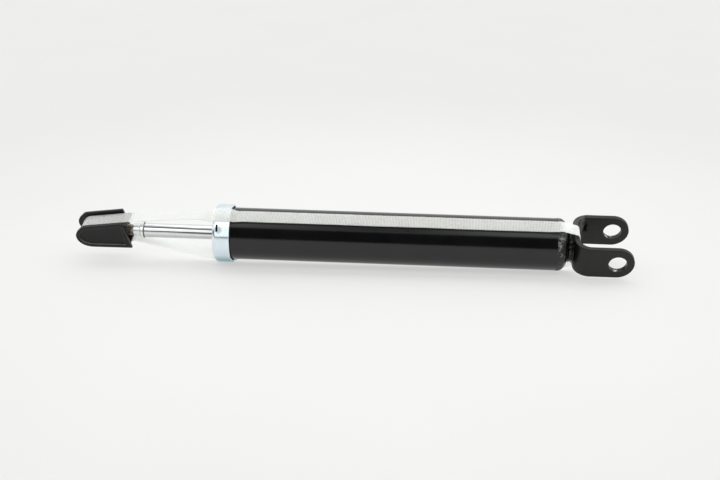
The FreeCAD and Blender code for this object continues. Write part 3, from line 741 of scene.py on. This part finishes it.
def cross_section():
    """Closed outline of the strap's section, (across, out), rounded at the selvedges."""
    points = []
    flat = HALF_WIDTH - HALF_THICK
    for side in (1, -1):
        for i in range(23):
            points.append((side * (-1 + 2 * i / 22) * flat, side * HALF_THICK))
        for i in range(1, 6):
            angle = side * math.pi / 2 - math.pi * i / 6
            points.append((side * flat + HALF_THICK * math.cos(angle),
                           HALF_THICK * math.sin(angle)))
    return points


def strap_piece(name, path, u_start, ends, material="strap_webbing"):
    """A strap swept along an (x, z) path. ends are its end tangents, so pieces butt."""
    section = cross_section()
    count = len(section)
    last = len(path) - 1
    verts, uvs = [], []
    u = u_start
    for i, point in enumerate(path):
        tangent = (path[min(i + 1, last)] - path[max(i - 1, 0)]).normalized()
        if i == 0:
            tangent = ends[0].normalized()
        if i == last:
            tangent = ends[1].normalized()
        # outward normal: away from the axis side
        out_x, out_z = tangent.y, -tangent.x
        if i:
            u += (point - path[i - 1]).length
        low = point.y < 0
        middle = y_centre(point.x, low)
        follow = drape(point.x, low)
        radius = CAP_SURFACE if point.x < -328.8 else TUBE_SURFACE
        wobble = 0.0
        if -300 < point.x < -60:
            wobble = 0.22 * noise.noise(Vector((point.x * 0.022, point.y * 0.05, 3.1)))
        for across, height in section:
            y = middle + wobble + across
            drop = follow * (radius - math.sqrt(max(radius * radius - y * y, 0.0)))
            off = height - drop
            verts.append(((point.x + out_x * off) * MM, y * MM, (point.y + out_z * off) * MM))
            # the inner face has its own stretch of v, 40 mm along
            uvs.append((u * MM, (across if height >= 0 else across + 40.0) * MM))
    faces = []
    for i in range(last):
        here, there = i * count, (i + 1) * count
        for j in range(count):
            k = (j + 1) % count
            faces.append((here + j, here + k, there + k, there + j))
    faces.append(tuple(range(count)))
    faces.append(tuple(reversed(range(last * count, (last + 1) * count))))
    piece = new_object(name, verts, faces)
    mesh = piece.data
    layer = mesh.uv_layers.new(name="weave")
    for loop in mesh.loops:
        layer.data[loop.index].uv = uvs[loop.vertex_index]
    fix_normals(mesh)
    mesh.set_sharp_from_angle(angle=math.radians(60))
    mesh.materials.append(MATS[material])
    piece.visible_shadow = False
    return piece


def straight(start, end, count):
    return [(start[0] + (end[0] - start[0]) * i / count,
             start[1] + (end[1] - start[1]) * i / count) for i in range(count + 1)]


def at_cut(start, end):
    """The point at CUT_X on the free span from start to end."""
    share = (CUT_X - start[0]) / (end[0] - start[0])
    return (CUT_X, start[1] + (end[1] - start[1]) * share)


# Each free span runs straight from the cap's edge to the nose.
LOW_LOOP = [(x, -z) for x, z in HALF_LOOP]
TOP_EDGE, LOW_EDGE = HALF_LOOP[-1], LOW_LOOP[-1]
TOP_END, LOW_END = NOSE[0], NOSE[-1]
TOP_CUT, LOW_CUT = at_cut(TOP_EDGE, TOP_END), at_cut(LOW_EDGE, LOW_END)
top_way = Vector((TOP_END[0] - TOP_EDGE[0], TOP_END[1] - TOP_EDGE[1]))
low_way = Vector((LOW_EDGE[0] - LOW_END[0], LOW_EDGE[1] - LOW_END[1]))

# u runs on from the main piece through the top link to the nose, and reaches 0 where
# the lower link meets the main piece again
top_half = HALF_LOOP + straight(TOP_EDGE, TOP_CUT, 16)[1:]
low_half = LOW_LOOP + straight(LOW_EDGE, LOW_CUT, 16)[1:]
main_path = catmull(low_half[::-1] + top_half[1:], step=1.6)
strap_main = strap_piece("strap_main", main_path, 0.0, (low_way, top_way))
u_end = sum((b - a).length for a, b in zip(main_path, main_path[1:]))
top_path = [Vector(point) for point in straight(TOP_CUT, TOP_END, 40)]
strap_link_top = strap_piece("strap_link_top", top_path, u_end, (top_way, top_way))
u_end += (Vector(TOP_END) - Vector(TOP_CUT)).length
strap_nose = strap_piece("strap_nose", catmull(NOSE, step=0.8), u_end, (top_way, low_way),
                         material="strap_nose")
low_path = [Vector(point) for point in straight(LOW_END, LOW_CUT, 40)]
u_low = -(Vector(LOW_END) - Vector(LOW_CUT)).length
strap_link_low = strap_piece("strap_link_low", low_path, u_low, (low_way, low_way))
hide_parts("strap")
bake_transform(strap_main)
for piece in (strap_link_top, strap_link_low):
    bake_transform(piece)
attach(strap_nose, "saddle")

# --------------------------------------------------------------------- camera
CAMERA_PLACE = Vector((-0.1570, -0.76773, 0.60175))
DIP, YAW, CAMERA_ROLL = math.radians(38.13), math.radians(-4.57), math.radians(-0.81)
view = Vector((math.sin(YAW) * math.cos(DIP), math.cos(YAW) * math.cos(DIP), -math.sin(DIP)))
level_right = Vector((math.cos(YAW), -math.sin(YAW), 0))
level_up = level_right.cross(view)
camera_right = level_right * math.cos(CAMERA_ROLL) + level_up * math.sin(CAMERA_ROLL)
camera_up = -level_right * math.sin(CAMERA_ROLL) + level_up * math.cos(CAMERA_ROLL)
camera_data = bpy.data.cameras.new("camera")
camera = bpy.data.objects.new("camera", camera_data)
scene.collection.objects.link(camera)
camera_data.sensor_width = 36.0
camera_data.lens = 56.3645
camera_data.clip_start = 0.05
camera_data.clip_end = 50.0
camera_turn = Matrix((camera_right, camera_up, -view)).transposed().to_4x4()
camera.matrix_world = Matrix.Translation(CAMERA_PLACE) @ camera_turn
scene.camera = camera

# ---------------------------------------------------------------------- table
# The part rests on its bump cap and on the closed end, rolled about its own axis; the
# part stays square to the frame and the table is tilted instead.
TABLE_UP = Vector((-0.0096, math.sin(TABLE_ROLL), math.cos(TABLE_ROLL))).normalized()
TABLE_OFFSET = -0.02296  # from the origin, along TABLE_UP
TABLE_HALF = 4.0
TABLE_MIDDLE = Vector((-0.2, 0, 0))

table_mesh = bpy.data.meshes.new("table")
table_mesh.from_pydata(
    [(x * TABLE_HALF, y * TABLE_HALF, 0) for x, y in ((-1, -1), (1, -1), (1, 1), (-1, 1))],
    [], [(0, 1, 2, 3)])
table = bpy.data.objects.new("table", table_mesh)
scene.collection.objects.link(table)
table_x = Vector((1, 0, 0)) - TABLE_UP * TABLE_UP.x
table_x.normalize()
table_turn = Matrix((table_x, TABLE_UP.cross(table_x), TABLE_UP)).transposed().to_4x4()
table_place = TABLE_UP * TABLE_OFFSET + TABLE_MIDDLE - TABLE_UP * TABLE_UP.dot(TABLE_MIDDLE)
table.matrix_world = Matrix.Translation(table_place) @ table_turn


def table_paper(name):
    """Pale self-lit paper that darkens away from its middle."""
    mat = Mat(name)
    x, y, _ = mat.split(mat.pos)
    fall = mat.math("SQRT", x * x + y * y).remap(0.14, 0.62, to=(1.0, 0.900))
    color = mat.mix(mat.noise(scale=7.0).remap(0.3, 0.7),
                    (0.360, 0.361, 0.357), (0.368, 0.369, 0.365))
    shade = mat.value("ShaderNodeCombineXYZ", {"X": fall, "Y": fall, "Z": fall})
    return mat.shade(
        Base_Color=mat.mix(1.0, color, shade, "MULTIPLY"), Roughness=0.75,
        Specular_IOR_Level=0.2,
        Emission_Color=(1.0, 1.0, 0.99), Emission_Strength=fall * 0.552,
        Normal=mat.bump(mat.noise(scale=900.0), strength=0.04, distance=0.0002))


table_mesh.materials.append(table_paper("table_paper"))

scene.cycles.caustics_reflective = False

# ---------------------------------------------------------------------- world
# Seen from the part, bright above and behind, dim in front.
FRONT = Vector((0, -math.cos(TABLE_ROLL), math.sin(TABLE_ROLL)))
# (degrees up from the front, brightness)
SKY_STOPS = [
    (-180, 0.8), (-90, 0.6), (-14, 0.5), (-6, 0.05), (46, 0.05), (50, 1.35), (75, 1.6),
    (77, 0.08), (87, 0.08), (91, 1.75), (115, 1.65), (136, 0.95), (160, 0.88), (180, 0.8)]
# the upper front band is two lamps with a gap between them: (x of direction, gain)
LAMP_STOPS = [
    (-0.30, 1.0), (-0.165, 1.0), (-0.118, 0.50), (-0.035, 0.09), (0.015, 0.40),
    (0.055, 1.25), (0.094, 1.05), (0.30, 1.0)]

world = bpy.data.worlds.new("studio")
scene.world = world
world.use_nodes = True
sky = Graph(world.node_tree)
direction = sky.coord("Generated")


def ramp(value, stops):
    """Half of the level in the stops at each value."""
    start, end = stops[0][0], stops[-1][0]
    made = sky.node("ShaderNodeValToRGB", {0: value.remap(start, end, smooth=False)})
    elements = made.color_ramp.elements
    while len(elements) > 1:
        elements.remove(elements[-1])
    elements[0].position = 0.0
    for i, (place, level) in enumerate(stops):
        stop = elements.new((place - start) / (end - start)) if i else elements[0]
        stop.color = (level / 2, level / 2, level / 2, 1)
    return Value(sky, made.outputs[0])


elevation = sky.angle(sky.dot(direction, tuple(TABLE_UP)), sky.dot(direction, tuple(FRONT)))
brightness = ramp(elevation, SKY_STOPS)
lamps = ramp(sky.dot(direction, (1.0, 0.0, 0.0)), LAMP_STOPS)
in_band = elevation.remap(47.0, 53.0) * elevation.remap(78.0, 76.0)
gain = in_band * (lamps * 2.0 - 1.0) + 1.0
background = sky.value("ShaderNodeBackground", {0: brightness, 1: gain * 2.0})
sky.node("ShaderNodeOutputWorld", {0: background})

# --------------------------------------------------------------------- lights
CARD_TARGET = Vector((-0.38, 0, 0))
CARD_DISTANCE = 1.1


def card(name, degrees_up, width, height, power, receivers):
    """An area light in front that lights only its receivers."""
    light = bpy.data.lights.new(name, "AREA")
    light.shape = "RECTANGLE"
    light.size = width
    light.size_y = height
    light.energy = power
    holder = bpy.data.objects.new(name, light)
    scene.collection.objects.link(holder)
    angle = math.radians(degrees_up)
    toward = FRONT * math.cos(angle) + TABLE_UP * math.sin(angle)
    holder.location = CARD_TARGET + toward * CARD_DISTANCE
    holder.rotation_mode = "QUATERNION"
    aim = CARD_TARGET - (CARD_TARGET + toward * CARD_DISTANCE)
    holder.rotation_quaternion = aim.to_track_quat("-Z", "Y")
    group = bpy.data.collections.new(name + "_on")
    for node in receivers:
        group.objects.link(NODES[node])
    holder.light_linking.receiver_collection = group


card("rod_card", degrees_up=34.5, width=2.2, height=0.82, power=6.2,
     receivers=["piston_rod", "collar_ring"])
card("cap_card", degrees_up=33.5, width=2.2, height=1.145, power=8.7,
     receivers=["bump_cap"])
